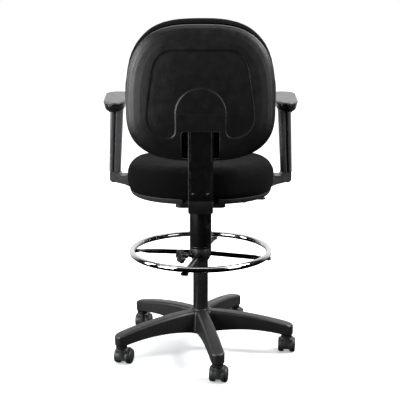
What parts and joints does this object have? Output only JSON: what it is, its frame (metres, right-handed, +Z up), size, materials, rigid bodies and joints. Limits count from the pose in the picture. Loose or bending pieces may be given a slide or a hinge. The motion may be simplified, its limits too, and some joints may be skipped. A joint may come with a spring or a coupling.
{
  "type": "drafting chair",
  "caption": "Armed drafting chair on a swivel caster base, with a lifting column, a sliding foot ring, a tilting back of adjustable height and height-adjustable arms.",
  "frame": {"origin": "on the floor, on the axis of the column, which is within a few millimetres of the middle of the footprint", "axes": "+Z up; the sitter faces -Y, so the backrest is towards +Y; +X is to the sitter's left"},
  "size_m": [0.6389, 0.6184, 1.1025],
  "materials": {
    "base_nylon": "moulded glass-filled nylon, fine grain, satin black",
    "caster_plastic": "moulded nylon, satin black",
    "caster_tread": "hard nylon wheel, satin black with a worn tread",
    "zinc_steel": "bright zinc-plated steel",
    "black_steel": "smooth black powder-coated steel",
    "bush_plastic": "natural acetal",
    "cover_plastic": "thin moulded polypropylene, satin black",
    "fitting_nylon": "moulded nylon, fine grain, satin black",
    "chrome": "polished chrome-plated steel tube",
    "shell_plastic": "grained black polypropylene",
    "plywood": "moulded beech plywood, stained black",
    "upholstery": "black woven polyester over foam",
    "arm_pad_foam": "soft self-skinned polyurethane, dark grey",
    "arm_gloss": "glossy black moulded plastic"
  },
  "bodies": {
    "base": {"five_star_base": "base_nylon", "caster_stem_1": "zinc_steel", "caster_stem_2": "zinc_steel", "caster_stem_3": "zinc_steel", "caster_stem_4": "zinc_steel", "caster_stem_5": "zinc_steel", "column_tube": "black_steel", "column_bush": "bush_plastic", "thrust_bearing": "zinc_steel", "cover_inner": "cover_plastic"},
    "caster_1": {"caster_hood_1": "caster_plastic"},
    "wheel_left_1": {"caster_wheel_left_1": "caster_tread"},
    "wheel_right_1": {"caster_wheel_right_1": "caster_tread"},
    "caster_2": {"caster_hood_2": "caster_plastic"},
    "wheel_left_2": {"caster_wheel_left_2": "caster_tread"},
    "wheel_right_2": {"caster_wheel_right_2": "caster_tread"},
    "caster_3": {"caster_hood_3": "caster_plastic"},
    "wheel_left_3": {"caster_wheel_left_3": "caster_tread"},
    "wheel_right_3": {"caster_wheel_right_3": "caster_tread"},
    "caster_4": {"caster_hood_4": "caster_plastic"},
    "wheel_left_4": {"caster_wheel_left_4": "caster_tread"},
    "wheel_right_4": {"caster_wheel_right_4": "caster_tread"},
    "caster_5": {"caster_hood_5": "caster_plastic"},
    "wheel_left_5": {"caster_wheel_left_5": "caster_tread"},
    "wheel_right_5": {"caster_wheel_right_5": "caster_tread"},
    "spindle": {"piston_rod": "zinc_steel"},
    "seat_frame": {"gas_cylinder": "black_steel", "cover_outer": "cover_plastic", "mechanism_housing": "black_steel", "back_pivot_pin": "zinc_steel", "seat_board": "plywood", "seat_shell": "shell_plastic", "seat_cushion": "upholstery", "arm_bracket_left": "fitting_nylon", "arm_bracket_right": "fitting_nylon"},
    "cover_middle": {"cover_middle": "cover_plastic"},
    "foot_rest": {"foot_ring": "chrome", "foot_ring_spoke_1": "chrome", "foot_ring_spoke_2": "chrome", "foot_ring_spoke_3": "chrome", "foot_ring_spoke_4": "chrome", "foot_ring_clamp": "fitting_nylon"},
    "clamp_knob": {"clamp_knob": "fitting_nylon"},
    "lift_lever": {"lift_lever": "fitting_nylon"},
    "back_lock_lever": {"back_lock_lever": "fitting_nylon"},
    "back_bar": {"j_bar": "black_steel", "j_bar_cover": "cover_plastic", "j_bend_cover": "fitting_nylon"},
    "backrest": {"back_height_bracket": "fitting_nylon", "back_board": "plywood", "back_shell": "shell_plastic", "back_cushion": "upholstery"},
    "arm_left": {"arm_sleeve_left": "fitting_nylon", "arm_pad_support_left": "arm_gloss", "arm_pad_left": "arm_pad_foam"},
    "arm_button_left": {"arm_button_left": "fitting_nylon"},
    "arm_right": {"arm_sleeve_right": "fitting_nylon", "arm_pad_support_right": "arm_gloss", "arm_pad_right": "arm_pad_foam"},
    "arm_button_right": {"arm_button_right": "fitting_nylon"}
  },
  "joints": [
    {"name": "caster_swivel_1", "type": "hinge", "parent": "base", "child": "caster_1", "pos_m": [0.2551, 0.13793, 0.05], "axis": [0, 0, 1], "continuous": true},
    {"name": "wheel_spin_left_1", "type": "hinge", "parent": "caster_1", "child": "wheel_left_1", "pos_m": [0.2494, 0.11668, 0.025], "axis": [0.9659, -0.2588, 0], "continuous": true},
    {"name": "wheel_spin_right_1", "type": "hinge", "parent": "caster_1", "child": "wheel_right_1", "pos_m": [0.2494, 0.11668, 0.025], "axis": [0.9659, -0.2588, 0], "continuous": true},
    {"name": "caster_swivel_2", "type": "hinge", "parent": "base", "child": "caster_2", "pos_m": [-0.05235, 0.28524, 0.05], "axis": [0, 0, 1], "continuous": true},
    {"name": "wheel_spin_left_2", "type": "hinge", "parent": "caster_2", "child": "wheel_left_2", "pos_m": [-0.05617, 0.26357, 0.025], "axis": [0.9848, -0.1736, 0], "continuous": true},
    {"name": "wheel_spin_right_2", "type": "hinge", "parent": "caster_2", "child": "wheel_right_2", "pos_m": [-0.05617, 0.26357, 0.025], "axis": [0.9848, -0.1736, 0], "continuous": true},
    {"name": "caster_swivel_3", "type": "hinge", "parent": "base", "child": "caster_3", "pos_m": [-0.28745, 0.03835, 0.05], "axis": [0, 0, 1], "continuous": true},
    {"name": "wheel_spin_left_3", "type": "hinge", "parent": "caster_3", "child": "wheel_left_3", "pos_m": [-0.29051, 0.01657, 0.025], "axis": [0.9903, -0.1392, 0], "continuous": true},
    {"name": "wheel_spin_right_3", "type": "hinge", "parent": "caster_3", "child": "wheel_right_3", "pos_m": [-0.29051, 0.01657, 0.025], "axis": [0.9903, -0.1392, 0], "continuous": true},
    {"name": "caster_swivel_4", "type": "hinge", "parent": "base", "child": "caster_4", "pos_m": [-0.1253, -0.26153, 0.05], "axis": [0, 0, 1], "continuous": true},
    {"name": "wheel_spin_left_4", "type": "hinge", "parent": "caster_4", "child": "wheel_left_4", "pos_m": [-0.12912, -0.2832, 0.025], "axis": [0.9848, -0.1736, 0], "continuous": true},
    {"name": "wheel_spin_right_4", "type": "hinge", "parent": "caster_4", "child": "wheel_right_4", "pos_m": [-0.12912, -0.2832, 0.025], "axis": [0.9848, -0.1736, 0], "continuous": true},
    {"name": "caster_swivel_5", "type": "hinge", "parent": "base", "child": "caster_5", "pos_m": [0.21001, -0.19999, 0.05], "axis": [0, 0, 1], "continuous": true},
    {"name": "wheel_spin_left_5", "type": "hinge", "parent": "caster_5", "child": "wheel_left_5", "pos_m": [0.20619, -0.22165, 0.025], "axis": [0.9848, -0.1736, 0], "continuous": true},
    {"name": "wheel_spin_right_5", "type": "hinge", "parent": "caster_5", "child": "wheel_right_5", "pos_m": [0.20619, -0.22165, 0.025], "axis": [0.9848, -0.1736, 0], "continuous": true},
    {"name": "seat_swivel", "type": "hinge", "parent": "base", "child": "spindle", "pos_m": [0, 0, 0.08], "axis": [0, 0, 1], "continuous": true},
    {"name": "seat_lift", "type": "slide", "parent": "spindle", "child": "seat_frame", "axis": [0, 0, 1], "range_m": [0, 0.25]},
    {"name": "cover_slide", "type": "slide", "parent": "base", "child": "cover_middle", "axis": [0, 0, 1], "range_m": [0, 0.125]},
    {"name": "foot_ring_height", "type": "slide", "parent": "base", "child": "foot_rest", "axis": [0, 0, 1], "range_m": [-0.15, 0]},
    {"name": "clamp_knob_turn", "type": "hinge", "parent": "foot_rest", "child": "clamp_knob", "pos_m": [0.05871, 0.03812, 0.339], "axis": [0.8387, 0.5446, 0], "range_deg": [0, 270]},
    {"name": "lift_lever_pull", "type": "hinge", "parent": "seat_frame", "child": "lift_lever", "pos_m": [-0.068, -0.014, 0.521], "axis": [0, 1, 0], "range_deg": [0, 5], "stiffness_Nm_per_rad": 3, "springref_deg": -5.73},
    {"name": "back_lock_turn", "type": "hinge", "parent": "seat_frame", "child": "back_lock_lever", "pos_m": [-0.068, 0.034, 0.521], "axis": [0, 1, 0], "range_deg": [0, 6]},
    {"name": "back_tilt", "type": "hinge", "parent": "seat_frame", "child": "back_bar", "pos_m": [0, 0.06, 0.528], "axis": [-1, 0, 0], "range_deg": [0, 14], "stiffness_Nm_per_rad": 120, "springref_deg": -6.88},
    {"name": "back_height", "type": "slide", "parent": "back_bar", "child": "backrest", "axis": [0, 0.0523, 0.9986], "range_m": [-0.01, 0.05]},
    {"name": "arm_height_left", "type": "slide", "parent": "seat_frame", "child": "arm_left", "axis": [0, 0, 1], "range_m": [0, 0.065]},
    {"name": "arm_button_press_left", "type": "slide", "parent": "arm_left", "child": "arm_button_left", "axis": [-1, 0, 0], "range_m": [0, 0.004], "stiffness_N_per_m": 300, "springref_m": -0.002},
    {"name": "arm_height_right", "type": "slide", "parent": "seat_frame", "child": "arm_right", "axis": [0, 0, 1], "range_m": [0, 0.065]},
    {"name": "arm_button_press_right", "type": "slide", "parent": "arm_right", "child": "arm_button_right", "axis": [1, 0, 0], "range_m": [0, 0.004], "stiffness_N_per_m": 300, "springref_m": -0.002}
  ],
  "couplings": [
    {"joint": "cover_slide", "follows": "seat_lift", "ratio": 0.5}
  ]
}
